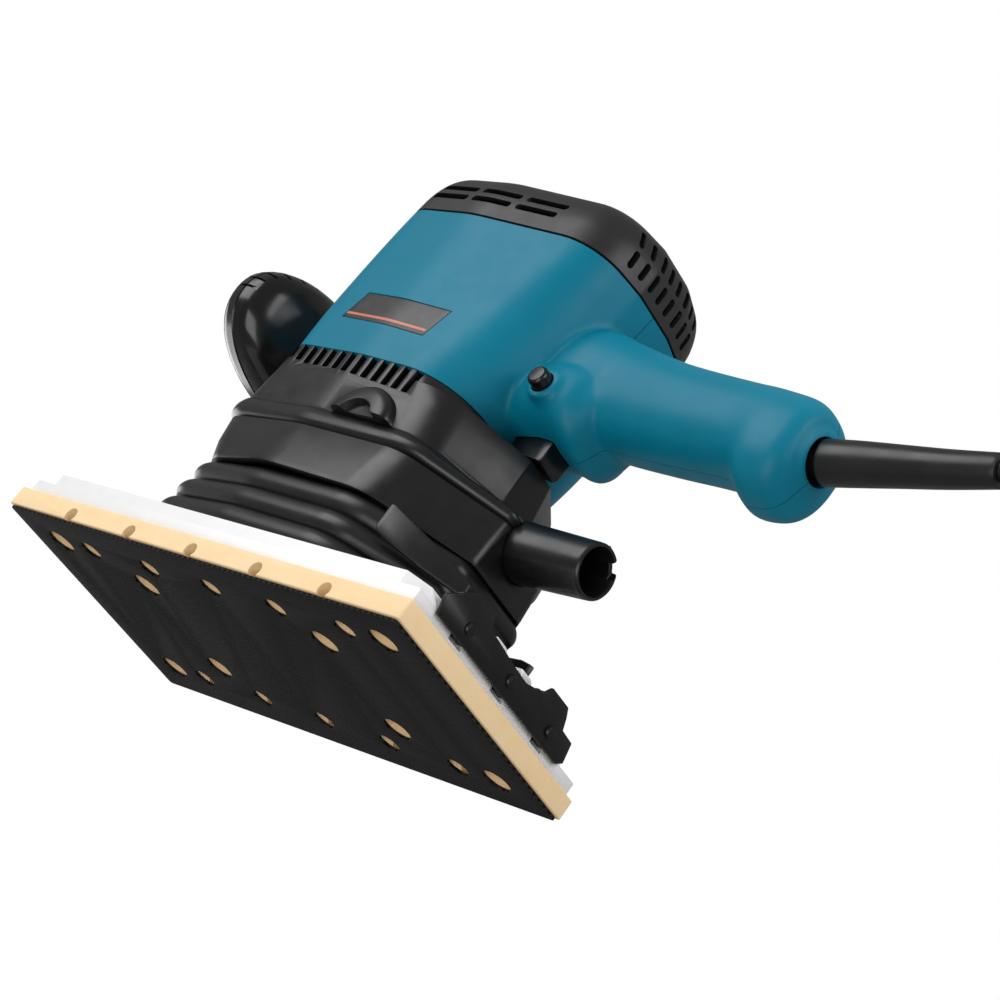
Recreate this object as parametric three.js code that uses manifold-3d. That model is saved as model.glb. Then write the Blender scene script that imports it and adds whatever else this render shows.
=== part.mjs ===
// Half-sheet orbital sander with a rear pistol handle, front palm grip, dust nozzle and cord.
// Row frame in mm: origin at the centre of the pad's sole, +X to the rear (handle and cord),
// +Z up. The tool's left side, with the name plate and lock button, faces -Y.
import * as THREE from 'three';
import { mergeVertices } from 'three/addons/utils/BufferGeometryUtils.js';
import Module from 'manifold-3d';

const wasm = await Module();
wasm.setup();

// ---- driving dimensions -------------------------------------------------------------
const GAP = 0.3;                 // face-to-face clearance between separate pieces
const PAD_L = 229, PAD_W = 115;  // foam pad, the half-sheet size
const SOLE_T = 1.0;              // hook sheet
const FOAM_T = 8.2;
const BASE_T = 10.5;             // aluminium base under the rim's top edge
const ECC = 1.3;                 // eccentricity of the crank (2.6 mm orbit)
const SIDE = 47;                 // half width of the motor housing
const SEAM_LOW = 108;            // black lower housing meets the coloured housing
const SEAM_TOP = 182.5;          // coloured housing meets the top cover
const RIM_Z = 50;                // lower rim of the lower housing
const ROOF_Z = 213;
const WALL = 2.6;
const KNOB_Z = 129;              // axis height of the front grip
const NOZ_Z = 69.2;              // dust nozzle axis
const GUARD_Z = 132.4;           // cord guard axis where it leaves the handle
const CORD_R = 3.9;
const MOTOR_X = -ECC;            // armature axis

const FOAM_Z = SOLE_T + GAP;
const FOAM_TOP = FOAM_Z + FOAM_T;
const BASE_Z = FOAM_TOP + GAP;
const BASE_TOP = BASE_Z + BASE_T;

const mat = {
  teal: [0x2f93ae, 0.45, 0], black: [0x2c2c2d, 0.5, 0], cap: [0x343435, 0.6, 0],
  rubber: [0x1d1d1e, 0.65, 0], foam: [0xffdcae, 0.9, 0], sole: [0x151515, 0.9, 0],
  alu: [0xd8d9db, 0.4, 0.9], steel: [0x9a9ca0, 0.35, 1], dark: [0x202022, 0.4, 0.6],
  copper: [0xb06a3a, 0.4, 1], label: [0x3c3c3d, 0.5, 0], core: [0x6f7276, 0.5, 0.9],
  brass: [0xc9a75a, 0.35, 1], carbon: [0x303030, 0.8, 0], nylon: [0xd9d4c4, 0.6, 0],
};
for (const k of Object.keys(mat)) {
  const [color, roughness, metalness] = mat[k];
  mat[k] = new THREE.MeshStandardMaterial({ color, roughness, metalness, name: k });
}

// ---- solids -------------------------------------------------------------------------
function solid(geo) {
  const g = new THREE.BufferGeometry();
  g.setAttribute('position', geo.getAttribute('position').clone());
  if (geo.index) g.setIndex(geo.index.clone());
  const m = mergeVertices(g, 1e-4);
  return new wasm.Manifold(new wasm.Mesh({
    numProp: 3,
    vertProperties: new Float32Array(m.getAttribute('position').array),
    triVerts: new Uint32Array(m.index.array),
  }));
}
const join = (a, ...r) => r.reduce((s, b) => s.add(b), a);
const cut = (a, ...r) => r.reduce((s, b) => s.subtract(b), a);

function at(geo, x, y, z) { geo.translate(x, y, z); return geo; }
function box(x0, x1, y0, y1, z0, z1) {
  return solid(at(new THREE.BoxGeometry(x1 - x0, y1 - y0, z1 - z0),
    (x0 + x1) / 2, (y0 + y1) / 2, (z0 + z1) / 2));
}
// A turned piece: profile [[radius, height], ...] about an axis through (x, y, z).
function turned(profile, x, y, z, axis = 'z', seg = 24) {
  const g = new THREE.LatheGeometry(profile.map(([r, h]) => new THREE.Vector2(r, h)), seg);
  if (axis === 'z') g.rotateX(Math.PI / 2);
  if (axis === 'x') g.rotateZ(-Math.PI / 2);
  if (axis === '-y') g.rotateZ(Math.PI);
  return solid(at(g, x, y, z));
}
const rod = (r, l, x, y, z, axis = 'z', seg = 24) =>
  turned([[0, 0], [r, 0], [r, l], [0, l]], x, y, z, axis, seg);
const ring = (ri, ro, l, x, y, z, axis = 'z', seg = 24) =>
  turned([[ri, 0], [ro, 0], [ro, l], [ri, l], [ri, 0]], x, y, z, axis, seg);
// A plate of a polygon in the XY plane between two heights.
function plate(pts, z0, z1) {
  const s = new THREE.Shape(pts.map(([x, y]) => new THREE.Vector2(x, y)));
  return solid(at(new THREE.ExtrudeGeometry(s, { depth: z1 - z0, bevelEnabled: false }), 0, 0, z0));
}
// The same with the polygon given as (y, z), running along X.
function plateX(pts, x0, x1) {
  const s = new THREE.Shape(pts.map(([y, z]) => new THREE.Vector2(y, z)));
  const g = new THREE.ExtrudeGeometry(s, { depth: x1 - x0, bevelEnabled: false });
  g.applyMatrix4(new THREE.Matrix4().set(0, 0, 1, x0, 1, 0, 0, 0, 0, 1, 0, 0, 0, 0, 0, 1));
  return solid(g);
}
// The same with the polygon given as (x, z), running along Y.
function plateY(pts, y0, y1) {
  const s = new THREE.Shape(pts.map(([x, z]) => new THREE.Vector2(x, -z)));
  const g = new THREE.ExtrudeGeometry(s, { depth: y1 - y0, bevelEnabled: false });
  g.rotateX(-Math.PI / 2);
  return solid(at(g, 0, y0, 0));
}
// A skin through rings of equal point count, closed at both ends.
function loft(rings) {
  const n = rings[0].length, pos = [], idx = [];
  for (const r of rings) for (const p of r) pos.push(...p);
  for (let k = 0; k + 1 < rings.length; k++) {
    for (let i = 0; i < n; i++) {
      const j = (i + 1) % n, a = k * n + i, b = k * n + j, c = a + n, d = b + n;
      idx.push(a, b, d, a, d, c);
    }
  }
  for (const [k, flip] of [[0, true], [rings.length - 1, false]]) {
    const mid = rings[k].reduce((s, p) => s.map((v, i) => v + p[i] / n), [0, 0, 0]);
    const c = pos.length / 3;
    pos.push(...mid);
    for (let i = 0; i < n; i++) {
      const a = k * n + i, b = k * n + (i + 1) % n;
      if (flip) idx.push(c, b, a); else idx.push(c, a, b);
    }
  }
  const g = new THREE.BufferGeometry();
  g.setAttribute('position', new THREE.Float32BufferAttribute(pos, 3));
  g.setIndex(idx);
  return solid(g);
}
// Rounded outline from corners [x, y, radius], counter-clockwise, `seg` chords per corner.
function rounded(corners, seg = 3) {
  const out = [], n = corners.length;
  for (let i = 0; i < n; i++) {
    const [x, y, r] = corners[i], a = corners[(i + n - 1) % n], b = corners[(i + 1) % n];
    const u = new THREE.Vector2(a[0] - x, a[1] - y).normalize();
    const v = new THREE.Vector2(b[0] - x, b[1] - y).normalize();
    const half = Math.acos(THREE.MathUtils.clamp(u.dot(v), -1, 1)) / 2;
    const t = r / Math.tan(half);
    const c = u.clone().add(v).normalize().multiplyScalar(r / Math.sin(half));
    const a0 = Math.atan2(u.y * t - c.y, u.x * t - c.x);
    let turn = Math.atan2(v.y * t - c.y, v.x * t - c.x) - a0;
    while (turn < 0) turn += 2 * Math.PI;
    for (let k = 0; k <= seg; k++) {
      const q = a0 + turn * k / seg;
      out.push([x + c.x + r * Math.cos(q), y + c.y + r * Math.sin(q)]);
    }
  }
  return out;
}
// Body outline, mirrored in Y: corners A (front), M (side), B and C (rear) as [x, |y|, radius].
function plan(A, M, B, C, seg = 3) {
  const left = [A, M, B, C].map(([x, y, r]) => [x, -y, r]);
  const right = [C, B, M, A].map(([x, y, r]) => [x, y, r]);
  return rounded([...left, ...right], seg);
}
const level = (z, inset, ...c) => plan(...c.map(([x, y, r], i) => [
  x + inset * (i === 0 ? 1 : i === 1 ? 0 : -1) * (i === 2 ? 0.5 : 1),
  y - inset * (i === 3 ? 0.4 : 1), Math.max(r - inset, 0.8)]), inset ? 2 : 3).map(([x, y]) => [x, y, z]);
// Oval section across X: centre height, half width, half height, squareness.
function oval(x, zc, hy, hz, p = 2.6, n = 20) {
  const out = [];
  for (let i = 0; i < n; i++) {
    const a = 2 * Math.PI * (i + 0.5) / n, c = Math.cos(a), s = Math.sin(a);
    out.push([x, hy * Math.sign(c) * Math.abs(c) ** (2 / p), zc + hz * Math.sign(s) * Math.abs(s) ** (2 / p)]);
  }
  return out;
}
const group = new THREE.Group();
group.name = 'orbital_sander';
function part(name, m, material) {
  const src = m.getMesh();
  const g = new THREE.BufferGeometry();
  g.setAttribute('position', new THREE.Float32BufferAttribute(src.vertProperties, 3));
  g.setIndex(new THREE.Uint32BufferAttribute(src.triVerts, 1));
  g.computeVertexNormals();
  const mesh = new THREE.Mesh(g, material);
  mesh.name = name;
  group.add(mesh);
}

// ---- pad ----------------------------------------------------------------------------
// Dust holes: five small ones along each long edge, big ones near the corners and the middle.
const SMALL_R = 4.7, BIG_R = 6, PITCH = 0.1635 * PAD_L;
const ROW_Y = 0.348 * PAD_W, END_X = 0.4145 * PAD_L, MID_X = 0.23 * PAD_L, MID_Y = 0.222 * PAD_W;
const SMALL = [], BIG = [];
for (const s of [-1, 1]) {
  for (let i = -2; i <= 2; i++) SMALL.push([i * PITCH, s * ROW_Y]);
  for (const t of [-1, 1]) BIG.push([s * END_X, t * ROW_Y], [s * MID_X, t * MID_Y]);
}
const slab = (l, w, r, z0, z1) => plate(rounded([[-l / 2, -w / 2, r], [l / 2, -w / 2, r],
  [l / 2, w / 2, r], [-l / 2, w / 2, r]], 3), z0, z1);
const drill = (m, z0, z1) => cut(m,
  ...SMALL.map(([x, y]) => rod(SMALL_R, z1 - z0, x, y, z0, 'z', 10)),
  ...BIG.map(([x, y]) => rod(BIG_R, z1 - z0, x, y, z0, 'z', 12)));

function hookSheet() {
  part('hook_sheet', drill(slab(PAD_L - 2.4, PAD_W - 1.8, 1.5, 0, SOLE_T), -1, SOLE_T + 1), mat.sole);
}
// Foam with half-round dust grooves from both long edges to the small holes.
function foamPad() {
  let m = drill(slab(PAD_L, PAD_W, 1.2, FOAM_Z, FOAM_TOP), FOAM_Z - 1, FOAM_TOP + 1);
  for (const [x, y] of SMALL) {
    const s = Math.sign(y);
    m = cut(m, rod(3, PAD_W / 2 + 2 - Math.abs(y), x, s > 0 ? y : -PAD_W / 2 - 2, FOAM_Z + 2.2, 'y', 8));
  }
  part('foam_pad', m, mat.foam);
}
const BEAR_R = 16, HUB_R = BEAR_R + 5, HUB_TOP = 38;
// Clamp hinge at each end of the base: plate, pin and ear heights follow the base's top.
const CLAMP_X = PAD_L / 2 - 2.2, PIN_X = PAD_L / 2 - 7.5, PIN_Z = BASE_TOP + 5, PIN_R = 1.6;
const PIN_HOLE = PIN_R + 0.15, EAR_Z = BASE_TOP + 10.4, TEETH = [-29, 0, 29];
// Cast aluminium base: open tray with sloped ends, dust channels, bearing hub, ribs and lugs.
function padBase() {
  const L = PAD_L / 2 - 2.5, W = PAD_W / 2 - 2.5, floor = BASE_Z + 4.5, duct = 3;
  let m = plateY([[-L, BASE_Z], [L, BASE_Z], [L, BASE_Z + 5], [L - 4, BASE_TOP], [-L + 4, BASE_TOP],
    [-L, BASE_Z + 5]], -W, W);
  for (const s of [-1, 1]) for (const t of [-1, 1]) {
    const corner = [[s * (L + 1), t * (W - 12)], [s * (L + 1), t * (W + 1)], [s * (L - 12), t * (W + 1)]];
    m = cut(m, plate(corner, floor + 1, BASE_TOP + 1));
  }
  m = cut(m, box(-50, 72, -38, 38, floor, BASE_TOP + 1));
  for (const s of [-1, 1]) {
    m = cut(m, box(-END_X - 4, END_X + 4, s * ROW_Y - 4, s * ROW_Y + 4, BASE_Z - 1, BASE_Z + duct),
      box(s * MID_X - 4, s * MID_X + 4, -ROW_Y, ROW_Y, BASE_Z - 1, BASE_Z + duct),
      ...[-1, 1].map((t) => rod(5, 12, 0.86 * s * MID_X, t * MID_Y, BASE_Z, 'z', 12)));
  }
  m = join(m, box(-51, 73, -2.5, 2.5, floor - 0.5, BASE_TOP - 2),
    box(-2.5, 2.5, -39, 39, floor - 0.5, BASE_TOP - 2),
    rod(HUB_R, HUB_TOP - floor + 1, 0, 0, floor - 1, 'z', 32));
  for (const s of [-1, 1]) {
    for (const y of [-9, 9]) {
      m = join(m, plateY([[s * (PIN_X + 3.2), BASE_TOP - 3], [s * (PIN_X + 3.2), PIN_Z + 1.2],
        [s * (PIN_X + 1.6), PIN_Z + 2.8], [s * (PIN_X - 2.6), PIN_Z + 2.8],
        [s * (PIN_X - 6.5), BASE_TOP - 3]], y - 3, y + 3));
    }
    m = cut(m, rod(PIN_R + 0.05, 26, s * PIN_X, -13, PIN_Z, 'y', 12));
    const x = s * (L - 0.75);
    for (const t of TEETH) m = cut(m, box(x - 1.75, x + 1.75, t - 4, t + 4, BASE_Z + 2, BASE_Z + 6.5));
  }
  m = cut(m, rod(BEAR_R + 0.1, 20, 0, 0, HUB_TOP - 11, 'z', 32), rod(11, 20, 0, 0, floor + 0.5, 'z', 24));
  part('pad_base', m, mat.alu);
}
// Pressed-steel paper clamp: plate with three studs and teeth, hung on two knuckles.
function clampAt(s, name) {
  const x0 = CLAMP_X, x1 = x0 + 1.6, zb = BASE_Z + 3.6, zt = BASE_TOP + 3.4;
  const outline = [[-44, zb], [40, zb], [43, zb + 2.4], [41, zt - 0.4], [33.8, zt], [31.8, EAR_Z - 3],
    [29.6, EAR_Z], [18.4, EAR_Z], [16, EAR_Z - 4], [6.5, zt], [-3, zt + 0.4], [-21.4, EAR_Z - 5],
    [-23.6, EAR_Z], [-34.6, EAR_Z], [-42.4, zt], [-46.4, zt - 3.2]];
  let m = plateX(outline, x0, x1);
  for (const [y0, y1] of [[-35, -23.4], [18.4, 29.8]]) {
    m = join(m, box(PIN_X - 1, x0 + 0.8, y0, y1, PIN_Z + 1.6, PIN_Z + 3.4),
      rod(3.8, y1 - y0, PIN_X, y0, PIN_Z, 'y', 16));
  }
  m = cut(m, rod(PIN_HOLE, 90, PIN_X, -45, PIN_Z, 'y', 16));
  for (const t of TEETH) {
    m = join(m, rod(2.6, 2.2, x0 + 0.8, t, BASE_Z + 9.6, 'x', 10),
      box(x0 - 2, x0 + 0.8, t - 2.6, t + 2.6, zb, zb + 1.6));
  }
  if (s < 0) m = m.rotate([0, 0, 180]);
  part('paper_clamp_' + name, m, mat.dark);
  part('clamp_pin_' + name, rod(PIN_R, 66, s * PIN_X, s > 0 ? -35.4 : -30.6, PIN_Z, 'y', 12), mat.steel);
}

// ---- housings -----------------------------------------------------------------------
// Corner sets of the body outline at each height, from the skirt rim to the roof.
const LOWER = [
  [RIM_Z, [-52, SIDE - 3.5, 14], [-8, SIDE + 6, 60], [45, SIDE + 2, 18], [81.6, 17, 5]],
  [RIM_Z + 9, [-57, SIDE - 3, 14], [-8, SIDE + 4.5, 60], [46, SIDE + 1, 14], [81.4, 16.4, 5]],
  [RIM_Z + 21, [-60, SIDE - 3, 14], [-9, SIDE + 2.6, 60], [47, SIDE - 0.2, 12], [81, 15, 5]],
  [RIM_Z + 23, [-62.6, SIDE - 2, 14], [-9, SIDE + 3, 60], [48, SIDE + 0.4, 12], [81.6, 15, 5]],
  [RIM_Z + 28, [-62, SIDE - 2, 14], [-9, SIDE + 2.6, 60], [47.4, SIDE - 0.4, 12], [80, 13, 5]],
  [RIM_Z + 30, [-58.6, SIDE - 1.4, 12], [-9, SIDE + 0.6, 60], [45.5, SIDE - 4, 10], [65, 9, 3]],
  [SEAM_LOW - 4.9, [-52.6, SIDE - 0.4, 11], [-9, SIDE + 0.4, 60], [39.8, SIDE - 4.6, 15], [62.4, 7.4, 2.4]],
  [SEAM_LOW - 4.6, [-52.4, SIDE - 0.4, 11], [-9, SIDE + 0.4, 60], [39.6, SIDE - 4.6, 16], [43.6, 13, 3]],
  [SEAM_LOW, [-51, SIDE - 0.4, 11], [-9, SIDE + 0.4, 60], [38.6, SIDE - 4.6, 17], [42.6, 12, 3]],
];
const BODY = [
  [SEAM_LOW, [-50.6, SIDE - 0.4, 11], [-8, SIDE + 0.4, 60], [38.6, SIDE - 4, 18], [42.6, 12, 3]],
  [125, [-51.8, SIDE - 0.4, 12], [-8, SIDE + 0.4, 60], [44.4, SIDE - 5, 19], [49, 12, 4]],
  [150, [-52.4, SIDE - 1, 14], [-8, SIDE + 0.4, 60], [49, SIDE - 6.4, 20], [55, 12, 5]],
  [172, [-51.8, SIDE - 1, 16], [-8, SIDE + 0.2, 60], [52.5, SIDE - 7.6, 24], [58.8, 12, 6]],
  [SEAM_TOP, [-51, SIDE - 1, 17], [-8, SIDE + 0.2, 60], [54, SIDE - 8.2, 24], [60.4, 12, 6]],
];
const CAP = [
  [SEAM_TOP + 0.6, [-50.8, SIDE - 1, 17], [-8, SIDE + 0.4, 60], [54.2, SIDE - 8, 24], [60.6, 12, 6]],
  [194, [-50, SIDE - 2, 17], [-8, SIDE - 0.8, 60], [53.6, SIDE - 9, 24], [60.8, 12, 6]],
  [203, [-47.5, SIDE - 5, 16], [-8, SIDE - 4, 60], [50.6, SIDE - 12, 22], [58.2, 11, 6]],
  [208.4, [-43, SIDE - 10, 15], [-8, SIDE - 9, 60], [45.6, SIDE - 17, 20], [53.2, 9, 5]],
  [211.6, [-35, SIDE - 18, 13], [-8, SIDE - 17, 50], [39, SIDE - 24.4, 15], [46, 7, 4]],
  [ROOF_Z, [-24, SIDE - 29, 8], [-8, SIDE - 28.4, 30], [27, SIDE - 34, 7], [32, 4, 2]],
];
const rings = (set, inset = 0, dz0 = 0, dz1 = 0) => set.map(([z, ...c], i) =>
  level(z + (i === 0 ? dz0 : i === set.length - 1 ? dz1 : 0), inset, ...c));

// Handle sections along X: [x, bottom, top, half width].
const HANDLE = [
  [30, 114, 160, 19], [48, 114.5, 164, 20.5], [62, 115, 167, 21.5], [72, 115.5, 165, 20], [80, 119.2, 163.4, 18.4],
  [98, 118.8, 159.6, 18], [115, 118.4, 157.4, 18], [140, 118, 155.4, 18], [148, 116, 155, 18.4],
  [156, 109.4, 154.4, 19], [166, 109.2, 153, 18.6], [171, 112.5, 150.4, 17], [174, 119, 146, 14],
];
const handleRings = (t = 0) => HANDLE.filter((q, i) => !t || i % 2 === 0).map(([x, a, b, h]) => oval(
  x - (x === HANDLE.at(-1)[0] ? t : 0), (a + b) / 2, h - t, (b - a) / 2 - t, 2.4, t ? 18 : 24));

// Lock-button boss and trigger bay as cutters and additions on the coloured housing.
const LOCK = [61.5, 126], LOCK_Y = -25.6;
// Trigger housing: arched underside in front of the grip, [x, bottom, top, half width].
const BULGE = [[40, 110, 140, 19], [47, 112.4, 143, 22.4], [57, 114, 145, 24.2], [66, 113, 146, 24.2],
  [73, 110.8, 146, 22], [77, 112.4, 146, 19], [81, 118, 146, 17]];
const bulge = (t) => BULGE.map(([x, a, b, h], i) => oval(x - (i === BULGE.length - 1 ? t : 0),
  (a + b) / 2, h - t, (b - a) / 2 - t, 2.4, t ? 16 : 20));
function motorHousings() {
  const boss = rod(7.6, 8, LOCK[0], LOCK_Y, LOCK[1], 'y', 20);
  const collar = turned([[0, 0], [10.8, 0], [10.8, 5], [0, 5]], 170.4, 0, GUARD_Z, 'x', 24);
  let outer = join(loft(rings(BODY, 0, GAP / 2, -GAP / 2)), loft(handleRings()), boss, collar,
    loft(bulge(0)));
  const inner = join(loft(rings(BODY.filter((q, i) => i !== 1 && i !== 3), WALL, -1, 1)), loft(handleRings(WALL)),
    loft(bulge(WALL)));
  const stem = rod(4.6, 30, LOCK[0], LOCK_Y - 6, LOCK[1], 'y', 16);
  const bay = box(44.8, 65.4, -7, 7, 100, 124);
  const bore = rod(6.2, 20, 166, 0, GUARD_Z, 'x', 16);
  outer = cut(outer, inner, stem, bay, bore);
  for (const [x, z, y] of SCREWS) {
    outer = join(outer, rod(4.2, 2 * y - 1.6, x, -y + 0.8, z, 'y', 14));
    outer = cut(outer, rod(2.1, y + 8, x, -8.6, z, 'y', 12), rod(3.9, 8, x, y - 3.6, z, 'y', 14));
  }
  outer = cut(outer, rod(3.2, 8, -54, 0, KNOB_Z, 'x', 16));
  for (const [s, name] of [[-1, 'left'], [1, 'right']]) {
    let half = cut(outer, s < 0 ? box(-70, 190, -0.15, 60, 90, 200) : box(-70, 190, -60, 0.15, 90, 200));
    if (s < 0) half = cut(half, plateAlong(LABEL_T + GAP, 4, GAP));
    part('motor_housing_' + name, half, mat.teal);
  }
}
// Slanted plate set into the left flank; blank, with one coloured line.
const LABEL_T = 1.2, LABEL_LOW = [-33, 124.2, 13, 123], LABEL_HIGH = [-28.6, 137.2, 17.4, 136.4];
// Half width of the flank behind the plate at x: it bows out to its widest at x = -8.
const flank = (x) => SIDE + 0.3 - (x < -8 ? (-8 - x) * 0.019 : (x + 8) * 0.103);
// A slab that follows the flank, `deep` into it and `out` of it, its edges moved out by `grow`.
function plateAlong(deep, out, grow, low = LABEL_LOW, high = LABEL_HIGH) {
  const row = (a, up) => [0, 0.27, 0.5, 0.75, 1].map((f) => {
    const wide = (2 * f - 1) * grow, x = a[0] + (a[2] - a[0]) * f + wide;
    return [x, a[1] + (a[3] - a[1]) * f + up * grow];
  });
  const bottom = row(low, -1), top = row(high, 1);
  return loft(bottom.map(([x, z], i) => {
    const [u, w] = top[i];
    return [[x, -flank(x) - out, z], [x, -flank(x) + deep, z], [u, -flank(u) + deep, w], [u, -flank(u) - out, w]];
  }));
}
function namePlate() {
  const line = plateAlong(0.3, 1, 0, [-31.6, 125.9, 12.4, 124.8], [-31.2, 127, 12.8, 125.9]);
  part('name_plate', cut(plateAlong(LABEL_T, 0, 0), line), mat.label);
}
function lowerHousing() {
  const zb = SEAM_LOW - GAP / 2;
  let outer = loft(rings(LOWER, 0, 0, -GAP / 2));
  // half-moon blister on each flank
  for (const s of [-1, 1]) {
    outer = join(outer, turned([[0, 0], [16, 0], [15.2, 3], [12, 5], [0, 5.6]], 15, s * 44.8, RIM_Z + 27.5,
      s > 0 ? 'y' : '-y', 20));
  }
  // motor space above the ledge: straight walls under the seam, then the seam's own outline
  const [ledge, ...above] = LOWER.slice(6);
  const upper = loft([level(74, WALL + 0.4, ledge[1], ledge[2], ledge[3], [43.6, 13, 3]),
    ...above.map(([z, ...c], i) => level(z + i, WALL + 0.4, ...c))]);
  const below = loft([level(RIM_Z - 1, 3, ...LOWER[0].slice(1)), level(RIM_Z + 6, 3.4, ...LOWER[1].slice(1))]);
  let m = cut(outer, upper, below);
  m = join(m, ring(17.6, 22, 18, MOTOR_X, 0, RIM_Z + 5, 'z', 28));
  m = cut(m, rod(17.6, 13.2, MOTOR_X, 0, RIM_Z + 10.9, 'z', 28), rod(12, 40, MOTOR_X, 0, RIM_Z - 5, 'z', 24));
  // dust duct from under the rim to the nozzle
  m = cut(m, box(58, 76, -10, 10, RIM_Z - 2, NOZ_Z + 6), rod(9.2, 30, 70, 0, NOZ_Z, 'x', 20),
    rod(11.9, 20, 78.7, 0, NOZ_Z, 'x', 24));
  // trigger clearance over the rear spine
  m = cut(m, box(42.9, 90, -7.4, 7.4, SEAM_LOW - 4.6, 112));
  // cooling slots under the seam, deeper to the rear
  for (let i = 0; i < 13; i++) {
    const x = -46 + i * 5.7, z0 = SEAM_LOW - 8.6 - (i > 5 ? (i - 5) * 0.35 : 0) + (i < 2 ? 2 - i : 0);
    for (const s of [-1, 1]) m = cut(m, box(x, x + 2.9, s > 0 ? 41 : -56, s > 0 ? 56 : -41, z0, SEAM_LOW - 1.6));
  }
  part('lower_housing', m, mat.black);
}
// Thin skirt arms that run down from the lower housing's rear corners to above the clamp.
function skirtArm(s, name) {
  const a = [60.5, 42.4], b = [93, 21.2], u = [0.53, 0.85];
  const edge = (p, o, z) => [p[0] + u[0] * o, s * (p[1] + u[1] * o), z];
  const ringAt = (p, z0, z1) => [edge(p, 0.4, z0), edge(p, 2.8, z0), edge(p, 2.8, z1), edge(p, 0.4, z1)];
  const r = [ringAt(a, 37.6, RIM_Z - 0.4), ringAt([77, 31.6], 34.4, 44.6), ringAt(b, 33, 38.6)];
  const root = [ringAt([a[0] - 2, a[1] + 0.4], 40, RIM_Z - 0.4)];
  part('skirt_arm_' + name, loft(s > 0 ? [...root, ...r] : [...root, ...r].map((q) => q.slice().reverse())), mat.black);
}
function topCover() {
  let m = loft(rings(CAP, 0, GAP / 2, 0));
  const hollow = loft(CAP.filter((c, i) => i !== 1).map(([z, ...c], i) =>
    level(i ? z - WALL : z - 2, WALL + 0.2, ...c)));
  m = cut(m, hollow);
  m = join(m, ring(11.1, 14.5, 18, MOTOR_X, 0, ROOF_Z - 19, 'z', 24));
  for (let i = 0; i < 3; i++) {
    for (const s of [-1, 1]) {
      const x = -38.6 + i * 23.2, y = s > 0 ? [38, 54] : [-54, -38];
      for (const [shift, z] of [[0, 190], [1.4, 195.4]]) {
        m = cut(m, box(x + shift, x + shift + 20.4, ...y, z, z + 3));
      }
    }
  }
  for (let i = 0; i < 8; i++) {
    const y = -24.5 + i * 6.4;
    m = cut(m, box(50, 70, y, y + 3.3, SEAM_TOP + 4, 194.6), box(44, 70, y, y + 3.3, 196.6, 204));
  }
  part('top_cover', m, mat.cap);
}
function dustNozzle() {
  const x0 = 79;
  let m = turned([[9, 0], [11.6, 0], [11.4, 5], [10.4, 38], [8.6, 38], [9, 0]], x0, 0, NOZ_Z, 'x', 28);
  m = cut(m, box(x0 + 35, x0 + 40, 4.4, 8.6, NOZ_Z + 3, NOZ_Z + 12));
  part('dust_nozzle', m, mat.black);
}
// Rubber bellows with three folds between the lower housing and the base.
function bellows() {
  const z0 = BASE_TOP + 0.8, z1 = RIM_Z - 0.3, n = 9, outer = [], inner = [];
  for (let k = 0; k <= n; k++) {
    const f = k / n, z = z0 + (z1 - z0) * f, fold = (k % 3 === 1 || k % 3 === 2) ? 1.9 : -0.9;
    const c = (e) => plan([-58.6 + 3.6 * f - e, 46 - 3.6 * f + e, 14], [-8, 50.4 - 1.6 * f + e, 60],
      [44, 48.4 - 1.4 * f + e, 18], [81 + e, 20 - 1.5 * f + e, 9]).map(([x, y]) => [x, y, z]);
    outer.push(c(fold));
    if (k === 0 || k === n) inner.push(c(-3));
  }
  inner[0].forEach((p) => { p[2] -= 1; }); inner[1].forEach((p) => { p[2] += 1; });
  part('bellows_skirt', cut(loft(outer), loft(inner)), mat.rubber);
}
// Wide oval palm grip on a short neck, with six finger grooves on each end.
function frontGrip() {
  const r = [[-52.8, 20, 20], [-64, 16.5, 16.5], [-74, 19, 17.5], [-82, 32, 21.5], [-86.5, 42, 24.2], [-91, 47.4, 25.8],
    [-97, 49, 26.4], [-103.4, 47.6, 25.6], [-109, 42.6, 22.6], [-113, 34, 17], [-114.6, 20, 9]];
  let m = loft(r.slice().reverse().map(([x, hy, hz]) => oval(x, KNOB_Z, hy, hz, 2.2, 28)));
  for (const s of [-1, 1]) {
    for (let i = 0; i < 6; i++) {
      const a = THREE.MathUtils.degToRad(2 + i * 11);
      const g = new THREE.BoxGeometry(26, 3.4, 1.3);
      g.rotateX(s * a);
      m = cut(m, solid(at(g, -100, s * 49.2 * Math.cos(a), KNOB_Z + 26.6 * Math.sin(a))));
    }
  }
  m = cut(m, rod(3.1, 30, -74, 0, KNOB_Z, 'x', 16));
  part('front_grip', m, mat.black);
}

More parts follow.
